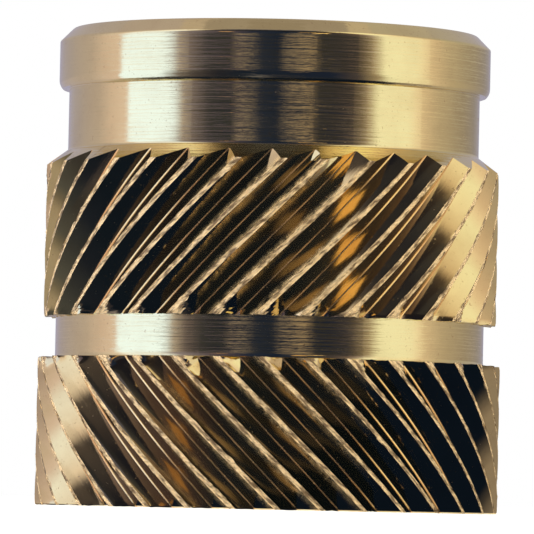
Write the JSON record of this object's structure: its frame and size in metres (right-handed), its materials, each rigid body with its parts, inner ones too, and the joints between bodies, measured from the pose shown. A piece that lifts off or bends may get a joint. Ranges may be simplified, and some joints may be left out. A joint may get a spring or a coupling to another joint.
{
  "type": "threaded insert",
  "caption": "Brass threaded insert for thermoplastic: through metric thread, opposed helical knurled bands, relief groove and plain pilot. Heat-set or pressed into a moulded hole for a screw.",
  "frame": {"origin": "centre of the trailing face, the flat face of the wider knurled band, on which the insert stands", "axes": "+Z along the insert's axis, from the trailing face towards the pilot"},
  "size_m": [0.0071, 0.0072, 0.0073],
  "materials": {
    "brass": "bright turned brass, with fine turning marks on the plain sections and burnished grooves with rough burred crests on the knurls"
  },
  "bodies": {
    "root": {"insert": "brass"}
  },
  "joints": []
}
